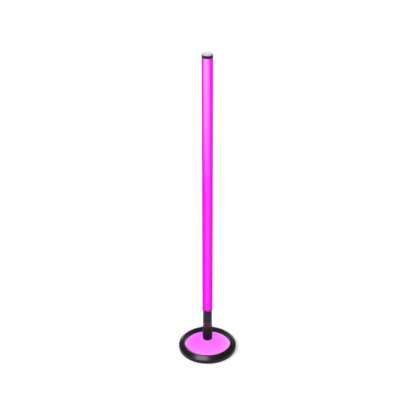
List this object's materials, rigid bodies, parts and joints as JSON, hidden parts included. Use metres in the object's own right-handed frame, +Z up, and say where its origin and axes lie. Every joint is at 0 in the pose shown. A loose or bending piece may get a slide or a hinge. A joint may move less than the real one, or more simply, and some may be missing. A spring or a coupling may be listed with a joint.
{
  "type": "led light tube",
  "caption": "Free-standing battery LED light tube: frosted lit tube on a slim handle with display and keys, plugged into a round black base with a lit cone inside its ring.",
  "frame": {"origin": "on the floor under the middle of the round base, at the underside of the rubber feet", "axes": "+Z up along the tube; -Y is the front, where the display and keys are; +Y is the back, where the charging socket and power button are"},
  "size_m": [0.22, 0.22, 1.1758],
  "materials": {
    "black_shell": "satin black moulded plastic",
    "panel_plastic": "fine-grained black moulded plastic",
    "grip_plastic": "matt black ribbed grip",
    "lit_tube": "frosted plastic lit from inside in magenta",
    "lit_diffuser": "frosted plastic lit from below in pale magenta",
    "white_plastic": "white moulded plastic",
    "grey_cap": "satin light grey plastic",
    "led_board": "white solder mask with raised light packages",
    "circuit_board": "green solder mask",
    "floor_plate": "black powder-coated steel",
    "bright_steel": "bare steel",
    "black_screw": "blackened steel",
    "aluminium": "mill-finish extrusion",
    "brass": "turned brass",
    "rubber": "matt black rubber",
    "key_rubber": "dark grey silicone rubber",
    "battery_wrap": "blue shrink wrap",
    "display_window": "smoked acrylic",
    "display_body": "display block with red segments"
  },
  "bodies": {
    "base": {"base_shell": "black_shell", "base_diffuser": "lit_diffuser", "base_reflector": "white_plastic", "base_light_board": "led_board", "base_plate": "floor_plate", "base_socket": "black_shell", "socket_jack": "white_plastic", "battery_pack_left": "battery_wrap", "battery_pack_right": "battery_wrap", "charger_board": "circuit_board", "inlet_board": "circuit_board", "power_switch": "white_plastic", "charging_socket": "bright_steel", "base_foot_1": "rubber", "base_foot_2": "rubber", "base_foot_3": "rubber", "base_foot_4": "rubber", "plate_screw_1": "black_screw", "plate_screw_2": "black_screw", "plate_screw_3": "black_screw", "plate_screw_4": "black_screw", "socket_screw_1": "black_screw", "socket_screw_2": "black_screw", "socket_screw_3": "black_screw"},
    "tube": {"control_housing": "panel_plastic", "plug_holder": "white_plastic", "plug_pin": "brass", "grip_sleeve": "grip_plastic", "tube_ferrule": "black_shell", "display_window": "display_window", "display_module": "display_body", "switch_board_left": "circuit_board", "switch_board_right": "circuit_board", "control_board": "circuit_board", "diffuser_tube": "lit_tube", "led_carrier": "aluminium", "carrier_plug_lower": "white_plastic", "carrier_plug_upper": "white_plastic", "carrier_spacer_1": "white_plastic", "carrier_spacer_2": "white_plastic", "seal_ring_lower": "rubber", "seal_ring_upper": "rubber", "top_cap_ring": "black_shell", "top_cap_plate": "grey_cap", "handle_screw_1": "black_screw", "handle_screw_2": "black_screw", "handle_screw_3": "black_screw", "handle_screw_4": "black_screw", "led_strip_right": "led_board", "led_strip_back": "led_board", "led_strip_left": "led_board", "led_strip_front": "led_board"},
    "menu_button_1": {"menu_button_1": "key_rubber"},
    "menu_button_2": {"menu_button_2": "key_rubber"},
    "menu_button_3": {"menu_button_3": "key_rubber"},
    "menu_button_4": {"menu_button_4": "key_rubber"},
    "power_button": {"power_button": "key_rubber"},
    "charging_cover": {"charging_cover": "rubber"}
  },
  "joints": [
    {"name": "tube_lift", "type": "slide", "parent": "base", "child": "tube", "axis": [0, 0, 1], "range_m": [0, 0.04]},
    {"name": "menu_button_1_press", "type": "slide", "parent": "tube", "child": "menu_button_1", "axis": [0.682, 0.7314, 0], "range_m": [0, 0.0005], "stiffness_N_per_m": 1500},
    {"name": "menu_button_2_press", "type": "slide", "parent": "tube", "child": "menu_button_2", "axis": [0.682, 0.7314, 0], "range_m": [0, 0.0005], "stiffness_N_per_m": 1500},
    {"name": "menu_button_3_press", "type": "slide", "parent": "tube", "child": "menu_button_3", "axis": [-0.682, 0.7314, 0], "range_m": [0, 0.0005], "stiffness_N_per_m": 1500},
    {"name": "menu_button_4_press", "type": "slide", "parent": "tube", "child": "menu_button_4", "axis": [-0.682, 0.7314, 0], "range_m": [0, 0.0005], "stiffness_N_per_m": 1500},
    {"name": "power_button_press", "type": "slide", "parent": "base", "child": "power_button", "axis": [-0.2419, -0.9703, 0], "range_m": [0, 0.0012], "stiffness_N_per_m": 1200},
    {"name": "charging_cover_swing", "type": "hinge", "parent": "base", "child": "charging_cover", "pos_m": [-0.0069, 0.1097, 0.0077], "axis": [0, 0, 1], "range_deg": [0, 110]}
  ]
}
